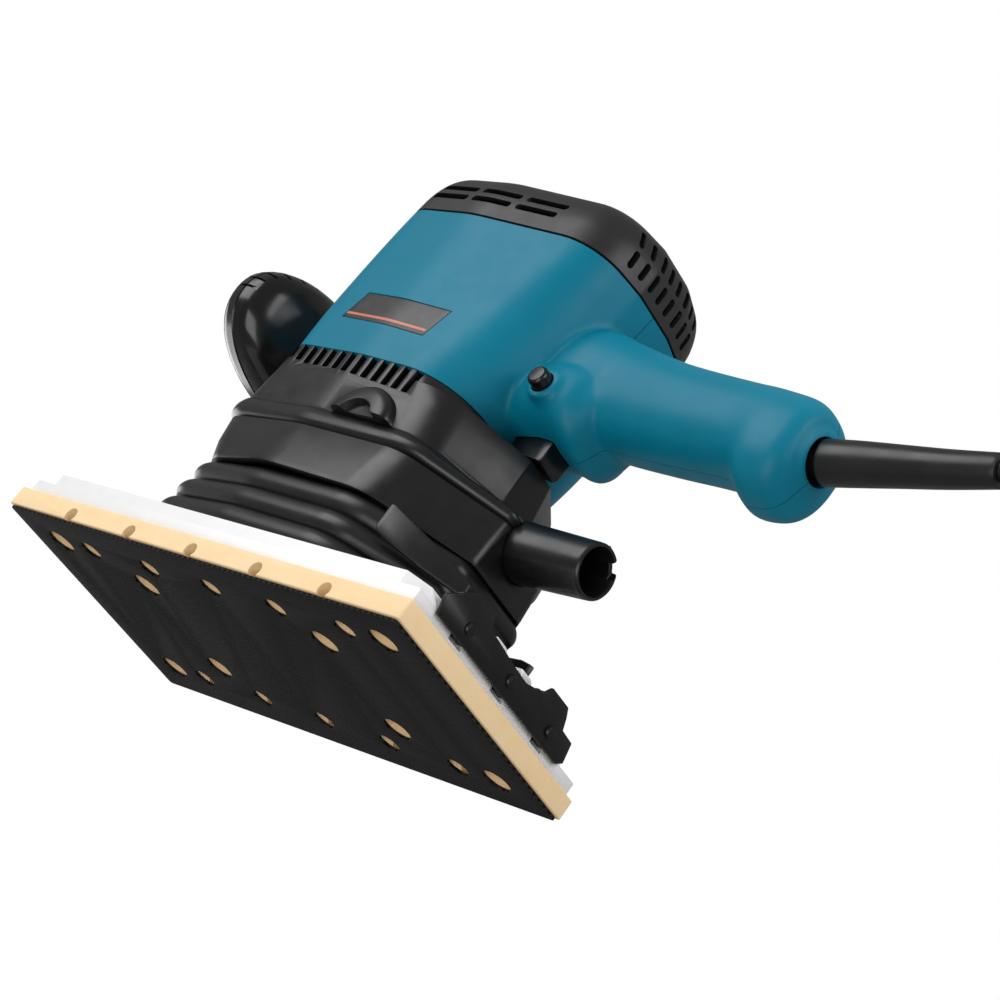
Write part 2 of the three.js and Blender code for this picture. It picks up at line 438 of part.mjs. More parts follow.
// ---- motor and drive ----------------------------------------------------------------
function rotor() {
  const e = ECC;
  const shaft = join(rod(5, 128, MOTOR_X, 0, 70, 'z', 20), rod(7.45, 24, MOTOR_X, 0, 56, 'z', 28),
    rod(11, 4, MOTOR_X, 0, 38.4, 'z', 20), rod(9, 14.5, MOTOR_X, 0, 42, 'z', 24),
    rod(7.45, 12, MOTOR_X + e, 0, 26.6, 'z', 28));
  part('armature_shaft', shaft, mat.steel);
  part('counterweight', join(ring(9.1, 15, 7, MOTOR_X, 0, 43, 'z', 24),
    cut(ring(10, 31, 7, MOTOR_X, 0, 43, 'z', 32), box(-3, 40, -40, 40, 40, 60))), mat.core);
  part('fan', join(ring(5.1, 12, 12, MOTOR_X, 0, 84.5, 'z', 20), ring(9, 34, 1.6, MOTOR_X, 0, 84.5, 'z', 28),
    ...Array.from({ length: 12 }, (_, i) => {
      const g = new THREE.BoxGeometry(22, 1.4, 9);
      g.translate(22.4, 0, 90.4);
      g.rotateZ(i * Math.PI / 6);
      return solid(at(g, MOTOR_X, 0, 0));
    })), mat.nylon);
  part('armature_core', ring(5.1, 20.5, 42, MOTOR_X, 0, 116, 'z', 20), mat.core);
  part('commutator', ring(5.1, 11, 13, MOTOR_X, 0, 166, 'z', 20), mat.copper);
  part('bearing_upper', ring(5.1, 11, 9, MOTOR_X, 0, 186.4, 'z', 20), mat.steel);
  part('bearing_lower', ring(7.5, 17.5, 12, MOTOR_X, 0, 61.2, 'z', 28), mat.steel);
  part('eccentric_bearing', ring(7.5, BEAR_R, 10.4, 0, 0, 27.3, 'z', 28), mat.steel);
}
function stator() {
  const m = cut(rod(37, 42, MOTOR_X, 0, 116, 'z', 32), rod(21.4, 60, MOTOR_X, 0, 110, 'z', 32),
    box(-60, -33.5, -40, 40, 110, 170), box(31, 60, -40, 40, 110, 170));
  part('stator_core', m, mat.core);
  for (const [s, name] of [[-1, 'left'], [1, 'right']]) {
    part('field_coil_' + name, cut(ring(24, 33, 7, MOTOR_X, 0, 158.6, 'z', 28),
      s > 0 ? box(-60, 60, -60, 9, 150, 170) : box(-60, 60, -9, 60, 150, 170)), mat.copper);
    part('brush_holder_' + name, cut(box(MOTOR_X - 5, MOTOR_X + 5, s > 0 ? 13 : -40, s > 0 ? 40 : -13, 167, 178),
      box(MOTOR_X - 3.3, MOTOR_X + 3.3, s > 0 ? 12 : -32, s > 0 ? 32 : -12, 169, 176)), mat.brass);
    part('carbon_brush_' + name, box(MOTOR_X - 3, MOTOR_X + 3, s > 0 ? 11.3 : -29, s > 0 ? 29 : -11.3,
      169.3, 175.7), mat.carbon);
  }
}
// ---- switch, trigger and lock -------------------------------------------------------
function controls() {
  part('switch_body', box(46, 76, -8, 8, 127, 146), mat.dark);
  const t = plateY([[45.6, 122.4], [45.6, 106], [47.6, 104.4], [51, 104.6], [56, 105.4], [61, 104.8], [63.4, 104.4],
    [64.8, 106], [64.8, 122.4], [60, 122.4], [58, 118], [51, 118], [49, 122.4]], -6.5, 6.5);
  part('trigger', t, mat.black);
  part('lock_button', turned([[0, 0], [3.4, 0], [4.2, 1], [4.2, 15], [0, 15]], LOCK[0], LOCK_Y - 4.6, LOCK[1], 'y', 20),
    mat.black);
}
// ---- cord ---------------------------------------------------------------------------
function tube(points, r, seg, steps) {
  const c = new THREE.CatmullRomCurve3(points.map((p) => new THREE.Vector3(...p)), false, 'centripetal');
  const s = new THREE.Shape();
  for (let i = 0; i < seg; i++) {
    const a = 2 * Math.PI * i / seg, x = r * Math.cos(a), y = r * Math.sin(a);
    if (i) s.lineTo(x, y); else s.moveTo(x, y);
  }
  s.closePath();
  return solid(new THREE.ExtrudeGeometry(s, { steps, extrudePath: c, bevelEnabled: false }));
}
const GUARD = [[177.2, 0, GUARD_Z + 0.2], [190.2, 0, 134.6], [205.7, 0, 136.8], [224.3, 0, 139.4], [243, 0, 142.6]];
function cordGuard() {
  const secs = GUARD.map((p, i) => {
    const q = GUARD[Math.min(i + 1, 4)], o = GUARD[Math.max(i - 1, 0)];
    const d = new THREE.Vector3(q[0] - o[0], 0, q[2] - o[2]).normalize();
    const r = [8.3, 8.0, 7.4, 6.7, 6.0][i], out = [];
    for (let k = 0; k < 20; k++) {
      const a = 2 * Math.PI * k / 20, y = r * Math.cos(a), h = r * Math.sin(a);
      out.push([p[0] - d.z * h, y, p[2] + d.x * h]);
    }
    return out;
  });
  part('cord_guard', join(loft(secs), rod(6, 13, 164.5, 0, GUARD_Z, 'x', 16),
    rod(9, 3, 163.4, 0, GUARD_Z, 'x', 20)), mat.rubber);
}
const COIL = [405, -4], COIL_R = 44, TIE_T = 0.6;  // coil centre, middle of its turns, strap
// Lead down to the floor, a flat coil of two layers of four turns, a short tail and the plug.
function cord() {
  const [cx, cy] = COIL, d = 2 * CORD_R, ro = COIL_R + 2 * d, ri = COIL_R - 2 * d, z0 = TIE_T + 0.2;
  const y = cy + COIL_R + 1.5 * d, z = z0 + CORD_R, pr = 9.6;
  // a straight run beside the coil clears its outer turns this far from the coil's centre
  const off = Math.sqrt((ro + CORD_R + 0.4) ** 2 - (y - cy) ** 2);
  part('power_cord', tube([[243.4, 0, 142.7], [262, 0.4, 144.6], [282, 4.4, 139.7], [298, 12.7, 126.7],
    [310, 20.6, 104.6], [320, 27.5, 76.5], [329, 33.6, 49.5], [338, 39.4, 29.2], [348, 44.9, 15.2],
    [359, 49.4, 7.6], [cx - off, y, z]], CORD_R, 10, 24), mat.rubber);
  part('cord_coil', turned([[ri, z0], [ro, z0], [ro, z0 + 2 * d], [ri, z0 + 2 * d], [ri, z0]], cx, cy, 0, 'z', 40),
    mat.rubber);
  part('cord_tail', tube([[cx + off, y, z + d - 0.2], [cx + off + 7, y + 0.2, z + d - 0.9],
    [cx + off + 14, y + 0.5, pr + 0.2], [cx + off + 20.7, y + 0.6, pr]], CORD_R, 10, 3), mat.rubber);
  part('coil_tie', cut(box(cx - 7, cx + 7, cy - ro - 0.3 - TIE_T, cy - ri + 1.2 + TIE_T, 0, z0 + 2 * d + 0.3 + TIE_T),
    box(cx - 8, cx + 8, cy - ro - 0.3, cy - ri + 1.2, TIE_T, z0 + 2 * d + 0.3)), mat.rubber);
  const px = cx + off + 21, py = y + 0.6;
  part('plug_body', turned([[0, 0], [5.6, 0], [6.4, 8], [pr, 12], [pr, 36], [8.6, 38], [0, 38]], px, py, pr, 'x', 20),
    mat.rubber);
  for (const [i, o] of [[1, -6], [2, 6]]) {
    part('plug_pin_' + i, rod(2.4, 19, px + 38.3, py + o, pr, 'x', 12), mat.brass);
  }
}
// Screws that join the two housing halves, entered from the right side.
const SCREWS = [[-38, 115, SIDE - 1.6], [-38, 168, SIDE - 2], [43, 158, SIDE - 8.6], [97, 138, 17.4], [148, 136, 17.6]];
function screws() {
  SCREWS.forEach(([x, z, y], i) => {
    part('housing_screw_' + (i + 1), join(rod(3.5, 2.4, x, y - 3.4, z, 'y', 12), rod(1.9, y + 4.8, x, -8, z, 'y', 10)),
      mat.steel);
  });
  part('grip_bolt', join(rod(2.9, 27, -73, 0, KNOB_Z, 'x', 16), rod(6, 3, -46.9, 0, KNOB_Z, 'x', 6)), mat.steel);
}

hookSheet(); foamPad(); padBase();
clampAt(-1, 'front'); clampAt(1, 'rear');
motorHousings(); namePlate(); lowerHousing();
skirtArm(-1, 'left'); skirtArm(1, 'right');
topCover(); dustNozzle(); bellows(); frontGrip();
rotor(); stator(); controls();
cordGuard(); cord(); screws();
export default group;
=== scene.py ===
# Half-sheet orbital sander with a rear pistol handle, palm grip, dust nozzle and cord.
# Sizes are in millimetres in the row frame: origin at the centre of the pad's sole, +X to the
# rear (handle and cord), +Z up, left side of the tool towards -Y.
import math

import bmesh
import bpy
from mathutils import Matrix, Vector


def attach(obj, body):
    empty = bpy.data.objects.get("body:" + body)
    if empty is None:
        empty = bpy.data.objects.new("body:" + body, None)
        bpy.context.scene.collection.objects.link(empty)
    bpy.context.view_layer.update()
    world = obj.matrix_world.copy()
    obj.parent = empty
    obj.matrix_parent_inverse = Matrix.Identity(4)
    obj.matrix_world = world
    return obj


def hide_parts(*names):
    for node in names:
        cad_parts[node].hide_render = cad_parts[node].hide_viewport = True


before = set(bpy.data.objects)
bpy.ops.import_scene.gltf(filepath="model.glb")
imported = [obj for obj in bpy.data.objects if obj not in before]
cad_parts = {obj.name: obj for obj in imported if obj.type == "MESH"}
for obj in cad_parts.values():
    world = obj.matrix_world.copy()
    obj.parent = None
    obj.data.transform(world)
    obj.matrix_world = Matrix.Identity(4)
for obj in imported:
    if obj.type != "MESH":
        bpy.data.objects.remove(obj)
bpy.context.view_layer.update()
bpy.ops.object.select_all(action="DESELECT")

MM = 0.001
RIB_SCALE = 2 * math.pi / (20 * 2.3 * MM)  # wave texture scale that spaces the sole's ribs 2.3 mm apart
PAD_L, PAD_W = 229, 115
SIDE = 47
SEAM_LOW, SEAM_TOP = 108, 182.5
RIM_Z = 50
BASE_TOP = 20.3
WALL = 2.4
GUARD_Z = 132.4
CORD_R = 3.9
AXES = {"x": Vector((1, 0, 0)), "y": Vector((0, 1, 0)), "z": Vector((0, 0, 1))}


# ---- camera, light and floor ---------------------------------------------------------
def place_camera():
    data = bpy.data.cameras.new("camera")
    data.lens, data.sensor_width = 90.545, 36
    data.clip_start, data.clip_end = 0.01, 50
    camera = bpy.data.objects.new("camera", data)
    bpy.context.scene.collection.objects.link(camera)
    right = Vector((0.68535, 0.46915, 0.55696)).normalized()
    up = Vector((-0.1628, -0.64675, 0.74512))
    back = right.cross(up).normalized()
    up = back.cross(right)
    turn = Matrix((right, up, back)).transposed().to_4x4()
    camera.matrix_world = Matrix.Translation((0.70633, -0.55418, -0.2496)) @ turn
    bpy.context.scene.camera = camera


def softbox(name, place, size, power):
    data = bpy.data.lights.new(name, "AREA")
    data.shape, data.size, data.energy = "SQUARE", size, power
    lamp = bpy.data.objects.new(name, data)
    bpy.context.scene.collection.objects.link(lamp)
    lamp.location = place
    lamp.rotation_mode = "QUATERNION"
    lamp.rotation_quaternion = (Vector((0.05, 0, 0.1)) - Vector(place)).to_track_quat("-Z", "Y")
    lamp.visible_camera = False


def light_studio():
    world = bpy.data.worlds.new("studio")
    bpy.context.scene.world = world
    world.use_nodes = True
    tree = world.node_tree
    tree.nodes.clear()
    soft = add(tree, "ShaderNodeBackground", Color=(1, 1, 1, 1), Strength=0.26)
    white = add(tree, "ShaderNodeBackground", Color=(1, 1, 1, 1), Strength=1.0)
    path = add(tree, "ShaderNodeLightPath")
    mix = add(tree, "ShaderNodeMixShader", {0: path.outputs["Is Camera Ray"],
                                            1: soft.outputs[0], 2: white.outputs[0]})
    add(tree, "ShaderNodeOutputWorld", Surface=mix.outputs[0])
    softbox("key_softbox", (-0.45, -1.05, 0.55), 0.9, 9.2)
    softbox("low_softbox", (0.6, -0.85, -0.65), 0.8, 5.4)
    softbox("rear_softbox", (1.05, -0.1, 0.6), 0.7, 4.5)
    softbox("front_softbox", (-0.95, 0.1, -0.1), 0.6, 3.4)
    data = bpy.data.lights.new("ceiling", "SUN")
    data.energy, data.angle = 1.35, math.radians(70)
    ceiling = bpy.data.objects.new("ceiling", data)
    ceiling.visible_glossy = False
    bpy.context.scene.collection.objects.link(ceiling)
    bpy.context.scene.view_settings.view_transform = "Standard"


def add(tree, kind, links=None, settings=None, **inputs):
    """Adds a node; inputs by name or number take a value or another node's output."""
    made = tree.nodes.new(kind)
    for key, value in (settings or {}).items():
        setattr(made, key, value)
    for key, value in {**(links or {}), **inputs}.items():
        if isinstance(value, bpy.types.NodeSocket):
            tree.links.new(value, made.inputs[key])
        else:
            made.inputs[key].default_value = value
    return made


def lay_floor():
    bpy.ops.mesh.primitive_plane_add(size=40, location=(0, 0, -0.0008))
    floor = bpy.context.object
    floor.name = "floor"
    bpy.ops.object.transform_apply(location=True, rotation=True, scale=True)
    # Paper seen from above; nothing from underneath, where the tool is looked at from below.
    paper = bpy.data.materials.new("matt_backdrop_paper")
    paper.use_nodes = True
    tree = paper.node_tree
    tree.nodes.clear()
    fibre = add(tree, "ShaderNodeTexNoise", Scale=240.0, Detail=3.0)
    tone = add(tree, "ShaderNodeMapRange", {"Value": fibre.outputs[0], "To Min": 0.86, "To Max": 0.9})
    face = add(tree, "ShaderNodeBsdfDiffuse", Color=tone.outputs[0])
    clear = add(tree, "ShaderNodeBsdfTransparent")
    side = add(tree, "ShaderNodeNewGeometry")
    mix = add(tree, "ShaderNodeMixShader", {0: side.outputs["Backfacing"], 1: face.outputs[0],
                                            2: clear.outputs[0]})
    add(tree, "ShaderNodeOutputMaterial", Surface=mix.outputs[0])
    floor.data.materials.append(paper)
    floor.visible_shadow = floor.visible_diffuse = floor.visible_glossy = False


# ---- materials -----------------------------------------------------------------------
def linear(colour):
    """sRGB hex to linear RGBA."""
    parts = [int(colour[i:i + 2], 16) / 255 for i in (1, 3, 5)]
    return (*[c / 12.92 if c <= 0.04045 else ((c + 0.055) / 1.055) ** 2.4 for c in parts], 1)


def start(name):
    made = bpy.data.materials.new(name)
    made.use_nodes = True
    made.node_tree.nodes.clear()
    place = add(made.node_tree, "ShaderNodeTexCoord").outputs["Object"]
    return made, made.node_tree, place


def two_tone(tree, place, low, high, mm, detail=3.0):
    """Colour that drifts between two tones in patches of the given size."""
    cloud = add(tree, "ShaderNodeTexNoise", Vector=place, Scale=1000 / mm, Detail=detail)
    steep = add(tree, "ShaderNodeMapRange", {"Value": cloud.outputs[0], "From Min": 0.32, "From Max": 0.68})
    return add(tree, "ShaderNodeMixRGB", {"Fac": steep.outputs[0], "Color1": linear(low),
                                          "Color2": linear(high)}).outputs[0]


def varied(tree, place, low, high, mm):
    """Number that drifts between two values in patches of the given size."""
    cloud = add(tree, "ShaderNodeTexNoise", Vector=place, Scale=1000 / mm, Detail=2.0)
    return add(tree, "ShaderNodeMapRange", {"Value": cloud.outputs[0], "From Min": 0.3, "From Max": 0.7,
                                            "To Min": low, "To Max": high}).outputs[0]


def grain(tree, place, mm, depth, below=None):
    """Fine relief of the given grain size and depth in millimetres."""
    dots = add(tree, "ShaderNodeTexNoise", Vector=place, Scale=1000 / mm, Detail=2.0)
    bump = add(tree, "ShaderNodeBump", Strength=1.0, Distance=depth * MM, Height=dots.outputs[0])
    if below is not None:
        tree.links.new(below, bump.inputs["Normal"])
    return bump.outputs[0]


def close(made, **inputs):
    tree = made.node_tree
    skin_node = add(tree, "ShaderNodeBsdfPrincipled", inputs)
    add(tree, "ShaderNodeOutputMaterial", Surface=skin_node.outputs[0])
    return made


def moulded(name, low, high, rough, mm, depth, ior=1.53, patch=22):
    """Injection-moulded plastic: even colour, spark-eroded grain, slightly uneven gloss."""
    made, tree, place = start(name)
    return close(made, **{"Base Color": two_tone(tree, place, low, high, patch),
                          "Roughness": varied(tree, place, rough - 0.04, rough + 0.05, 9),
                          "Normal": grain(tree, place, mm, depth), "IOR": ior})


def make_materials():
    m = {}
    # Moulded ABS housing: satin teal, the fine grain softens its highlights.
    m["teal"] = moulded("moulded_abs_teal", "#00758F", "#007B96", 0.42, 0.9, 0.006, 1.32, 40)
    # Glass-filled nylon: black with a grey sheen, since its fibres reach the skin.
    m["black"] = moulded("moulded_glass_filled_nylon", "#0D0D0E", "#121213", 0.31, 1.1, 0.012)
    m["cap"] = moulded("moulded_nylon_cover", "#1B1B1C", "#202021", 0.42, 1.0, 0.02)
    # The palm grip is moulded in a polished tool, so its highlights are sharp.
    m["grip"] = moulded("moulded_glossy_nylon", "#0A0A0B", "#0E0E0F", 0.2, 1.6, 0.004)
    m["button"] = moulded("moulded_acetal_black", "#0A0A0B", "#101011", 0.26, 1.2, 0.006)
    # Moulded rubber: soft wide highlights and a faint dusty bloom.
    m["rubber"] = moulded("moulded_neoprene", "#0F0F10", "#161617", 0.36, 1.4, 0.012, 1.52, 8)
    # Extruded PVC sheath of the mains lead: smoother than the moulded guard.
    m["sheath"] = moulded("extruded_pvc_sheath", "#141415", "#1C1C1D", 0.34, 2.0, 0.008, 1.53, 30)
    m["line"] = moulded("screen_printed_line", "#C96F56", "#D27A62", 0.4, 0.5, 0.004)
    m["nylon"] = moulded("moulded_nylon_natural", "#D2CDBD", "#DAD5C6", 0.5, 1.0, 0.02)
    m["carbon"] = moulded("pressed_carbon", "#262627", "#303031", 0.7, 0.5, 0.03)

    # Lacquered label plate: dark, flat and a little glossier than the housing round it.
    made, tree, place = start("lacquered_label")
    m["label"] = close(made, **{"Base Color": two_tone(tree, place, "#2E2E2F", "#363637", 4),
                                "Roughness": varied(tree, place, 0.3, 0.38, 3),
                                "Normal": grain(tree, place, 0.6, 0.004)})

    # Cut polyurethane foam: peach, matt, open pores under a millimetre across.
    made, tree, place = start("cut_polyurethane_foam")
    pores = add(tree, "ShaderNodeTexVoronoi", Vector=place, Scale=1000 / 0.9)
    relief = add(tree, "ShaderNodeBump", Strength=0.6, Distance=0.05 * MM, Height=pores.outputs[0])
    m["foam"] = close(made, **{"Base Color": two_tone(tree, place, "#FFDCAA", "#FFE2B4", 9),
                               "Roughness": varied(tree, place, 0.82, 0.95, 2),
                               "Normal": grain(tree, place, 1.1, 0.05, relief.outputs[0])})
    # Woven hook sheet: near-black with fine diagonal ribs, drawn a little coarser than real; the ribs are
    # real relief, and their colour is painted shade in the valleys and painted highlight on the crests.
    made, tree, place = start("woven_hook_sheet")
    turned_place = add(tree, "ShaderNodeMapping", {"Vector": place, "Rotation": (0, 0, math.radians(38))})
    ribs = add(tree, "ShaderNodeTexWave", {"Vector": turned_place.outputs[0], "Scale": RIB_SCALE},
               {"wave_type": "BANDS", "bands_direction": "X", "wave_profile": "SIN"})
    relief = add(tree, "ShaderNodeBump", Strength=1.0, Distance=0.35 * MM, Height=ribs.outputs["Fac"])
    # Painted shade and highlight: the colour follows the rib height, near-black in the valleys and grey on
    # the crests.
    tone = add(tree, "ShaderNodeMixRGB", {"Fac": ribs.outputs["Fac"], "Color1": linear("#010101"),
                                          "Color2": linear("#2B2B2B")})
    m["sole"] = close(made, **{"Base Color": tone.outputs[0], "Roughness": 0.85, "IOR": 1.3,
                               "Normal": grain(tree, place, 0.7, 0.06, relief.outputs[0])})

    # Die-cast aluminium: pale grey, a faintly orange-peeled skin with duller patches.
    made, tree, place = start("die_cast_aluminium")
    m["alu"] = close(made, **{"Base Color": two_tone(tree, place, "#F0F1F2", "#F4F4F5", 6),
                              "Metallic": 0.1, "Roughness": varied(tree, place, 0.42, 0.52, 4),
                              "Normal": grain(tree, place, 1.2, 0.02)})
    # Blacked pressed steel: oily dark skin with a slightly uneven gloss.
    made, tree, place = start("blacked_pressed_steel")
    m["clamp"] = close(made, **{"Base Color": two_tone(tree, place, "#0E0E0F", "#151516", 5),
                                "Metallic": 0.2, "Roughness": varied(tree, place, 0.28, 0.36, 3),
                                "Normal": grain(tree, place, 0.8, 0.004)})
    for key, name, low, high, rough in [
            ("steel", "zinc_plated_steel", "#8C8E92", "#A6A8AC", 0.32),
            ("core", "stacked_lamination_steel", "#5C5F63", "#74777B", 0.5),
            ("copper", "enamelled_copper_winding", "#A05A2C", "#BC7440", 0.36),
            ("brass", "turned_brass", "#B8964C", "#CDB069", 0.3)]:
        made, tree, place = start(name)
        m[key] = close(made, **{"Base Color": two_tone(tree, place, low, high, 3), "Metallic": 1.0,
                                "Roughness": varied(tree, place, rough - 0.06, rough + 0.08, 2),
                                "Normal": grain(tree, place, 0.8, 0.01)})
    return m


# ---- tools of the trade ----------------------------------------------------------------
def select_only(piece):
    bpy.ops.object.select_all(action="DESELECT")
    piece.select_set(True)
    bpy.context.view_layer.objects.active = piece


def linked(name, mesh):
    piece = bpy.data.objects.new(name, mesh)
    bpy.context.scene.collection.objects.link(piece)
    return piece


def apply_modifier(piece, kind, **settings):
    select_only(piece)
    mod = piece.modifiers.new(kind.lower(), kind)
    for key, value in settings.items():
        setattr(mod, key, value)
    bpy.ops.object.modifier_apply(modifier=mod.name)
    return piece


def smooth(piece, angle=35):
    select_only(piece)
    bpy.ops.object.shade_smooth_by_angle(angle=math.radians(angle))
    return piece


def edges_broken(piece, width, angle=32, segments=3):
    """Rounds every edge that turns more than `angle`, then shades the piece smooth."""
    apply_modifier(piece, "BEVEL", width=width * MM, segments=segments, limit_method="ANGLE",
                   angle_limit=math.radians(angle), use_clamp_overlap=True, harden_normals=False)
    return smooth(piece, 40)


def joined(name, parts):
    bpy.ops.object.select_all(action="DESELECT")
    for p in parts:
        p.select_set(True)
    bpy.context.view_layer.objects.active = parts[0]
    if len(parts) > 1:
        bpy.ops.object.join()
    parts[0].name = name
    return parts[0]


def cut_away(piece, *cutters, operation="DIFFERENCE"):
    tool = joined("cutter", list(cutters))
    apply_modifier(piece, "BOOLEAN", operation=operation, object=tool, solver="EXACT")
    bpy.data.objects.remove(tool)
    return piece


def block(name, x, y, z, radius=0, along=None, segments=4):
    """A box between pairs of limits, with its edges along one axis (or all) rounded."""
    centre = [sum(q) / 2 * MM for q in (x, y, z)]
    size = [(q[1] - q[0]) * MM for q in (x, y, z)]
    bpy.ops.mesh.primitive_cube_add(size=1, location=centre, scale=size)
    piece = bpy.context.object
    piece.name = name
    bpy.ops.object.transform_apply(location=True, rotation=True, scale=True)
    if radius:
        bpy.ops.object.mode_set(mode="EDIT")
        bpy.ops.mesh.select_mode(type="EDGE")
        mesh = bmesh.from_edit_mesh(piece.data)
        for edge in mesh.edges:
            run = edge.verts[0].co - edge.verts[1].co
            edge.select = along is None or abs(run.dot(AXES[along])) > 0.9 * run.length
        mesh.select_flush_mode()
        bmesh.update_edit_mesh(piece.data)
        bpy.ops.mesh.bevel(offset=radius * MM, segments=segments, affect="EDGES", clamp_overlap=True)
        bpy.ops.object.mode_set(mode="OBJECT")
    return piece


def cylinder(name, radius, length, place, axis="z", sides=40):
    """A cylinder that starts at `place` and runs along an axis."""
    direction = AXES[axis]
    centre = (Vector(place) + direction * length / 2) * MM
    turn = {"x": (0, math.pi / 2, 0), "y": (math.pi / 2, 0, 0), "z": (0, 0, 0)}[axis]
    bpy.ops.mesh.primitive_cylinder_add(vertices=sides, radius=radius * MM, depth=length * MM,
                                        location=centre, rotation=turn)
    piece = bpy.context.object
    piece.name = name
    bpy.ops.object.transform_apply(location=True, rotation=True, scale=True)
    return piece


def spun(name, profile, centre, axis="z", steps=56, away=1):
    """A turned piece: profile of (radius, height) about an axis through `centre`."""
    direction = AXES[axis] * away
    side = AXES["y" if axis != "y" else "x"]
    middle = Vector(centre)
    points = [(middle + direction * h + side * r) * MM for r, h in profile]
    mesh = bpy.data.meshes.new(name)
    mesh.from_pydata(points, [(i, i + 1) for i in range(len(points) - 1)], [])
    piece = linked(name, mesh)
    select_only(piece)
    bpy.ops.object.mode_set(mode="EDIT")
    bpy.ops.mesh.select_all(action="SELECT")
    bpy.ops.mesh.spin(steps=steps, angle=2 * math.pi, center=middle * MM, axis=AXES[axis])
    bpy.ops.mesh.select_all(action="SELECT")
    bpy.ops.mesh.remove_doubles(threshold=1e-6)
    bpy.ops.mesh.normals_make_consistent(inside=False)
    bpy.ops.object.mode_set(mode="OBJECT")
    return piece


def skin(name, rings, ends=(True, True)):
    """A skin over rings of equal point count, in millimetres, with either end closed."""
    n = len(rings[0])
    points = [[v * MM for v in p] for ring in rings for p in ring]
    faces = [(k * n + i, k * n + (i + 1) % n, (k + 1) * n + (i + 1) % n, (k + 1) * n + i)
             for k in range(len(rings) - 1) for i in range(n)]
    if ends[0]:
        faces.append(tuple(reversed(range(n))))
    if ends[1]:
        faces.append(tuple(range((len(rings) - 1) * n, len(rings) * n)))
    mesh = bpy.data.meshes.new(name)
    mesh.from_pydata(points, [], faces)
    piece = linked(name, mesh)
    select_only(piece)
    bpy.ops.object.mode_set(mode="EDIT")
    bpy.ops.mesh.select_all(action="SELECT")
    bpy.ops.mesh.normals_make_consistent(inside=False)
    bpy.ops.object.mode_set(mode="OBJECT")
    return piece


def eased(levels, steps):
    """Rows of numbers with smooth ones set between each and the next."""
    out = []
    for i in range(len(levels) - 1):
        a, b = levels[max(i - 1, 0)], levels[i]
        c, d = levels[i + 1], levels[min(i + 2, len(levels) - 1)]
        for k in range(steps):
            t = k / steps
            out.append([0.5 * (2 * q + (r - p) * t + (2 * p - 5 * q + 4 * r - s) * t * t
                               + (3 * q - p - 3 * r + s) * t ** 3) for p, q, r, s in zip(a, b, c, d)])
    return out + [list(levels[-1])]


def rounded(corners, seg):
    """Outline through corners (x, y, radius), anticlockwise, `seg` chords to a corner."""
    out = []
    for i, (x, y, r) in enumerate(corners):
        here = Vector((x, y))
        u = (Vector(corners[i - 1][:2]) - here).normalized()
        v = (Vector(corners[(i + 1) % len(corners)][:2]) - here).normalized()
        half = math.acos(max(-1, min(1, u.dot(v)))) / 2
        reach = r / math.tan(half)
        middle = (u + v).normalized() * (r / math.sin(half))
        first = u * reach - middle
        last = v * reach - middle
        a = math.atan2(first.y, first.x)
        turn = (math.atan2(last.y, last.x) - a) % (2 * math.pi)
        for k in range(seg + 1):
            q = a + turn * k / seg
            out.append((x + middle.x + r * math.cos(q), y + middle.y + r * math.sin(q)))
    return out


def outline(row, inset=0, seg=8):
    """Body outline at one height, from [z, then x, |y|, radius of four corners]."""
    z, corners = row[0], [row[1:4], row[4:7], row[7:10], row[10:13]]
    moved = []
    for i, (x, y, r) in enumerate(corners):
        dx = inset * (1, 1, -0.5, -1)[i] if i != 1 else inset
        moved.append((x + dx, y - inset * (0.4 if i == 3 else 1), max(r - inset, 0.8)))
    left = [(x, -y, r) for x, y, r in moved]
    right = [(x, y, r) for x, y, r in reversed(moved)]
    return [(x, y, z) for x, y in rounded(left + right, seg)]


def oval(x, middle, half_w, half_h, square=2.4, n=56):
    out = []
    for i in range(n):
        c, s = math.cos(2 * math.pi * i / n), math.sin(2 * math.pi * i / n)
        out.append((x, half_w * math.copysign(abs(c) ** (2 / square), c),
                    middle + half_h * math.copysign(abs(s) ** (2 / square), s)))
    return out


def fitted(piece, body, material, slot, *nodes):
    """Gives a finished piece its material, and rides it on its body."""
    piece.data.materials.clear()
    piece.data.materials.append(M[material])
    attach(piece, body)
    if nodes:
        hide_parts(*nodes)
    return piece


def finished_copy(node, name, width=0.3, angle=34, segments=2):
    """A CAD piece as its maker leaves it: doubles merged, edges broken, shaded smooth."""
    piece = linked(name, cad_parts[node].data.copy())
    select_only(piece)
    bpy.ops.object.mode_set(mode="EDIT")
    bpy.ops.mesh.select_all(action="SELECT")
    bpy.ops.mesh.remove_doubles(threshold=1e-5)
    bpy.ops.mesh.dissolve_limited(angle_limit=math.radians(0.6))
    bpy.ops.object.mode_set(mode="OBJECT")
    return edges_broken(piece, width, angle, segments)


# ---- cord ------------------------------------------------------------------------------
COIL = (405, -4)
COIL_R = 44
COIL_SIDE = -4 + COIL_R + 1.5 * 2 * CORD_R
LEAD = [(243.4, 0, 142.7), (262, 0.4, 144.6), (282, 4.4, 139.7), (298, 12.7, 126.7), (310, 20.6, 104.6),
        (320, 27.5, 76.5), (329, 33.6, 49.5), (338, 39.4, 29.2), (348, 44.9, 15.2), (359, 49.4, 7.6),
        (373.3, COIL_SIDE, 4.7), (389, COIL_SIDE, 4.7)]
TAIL = [(421, COIL_SIDE, 12.5), (436.7, COIL_SIDE, 12.3), (443.7, 51.9, 11.6), (450.7, 52.2, 9.8),
        (457.1, 52.3, 9.6)]


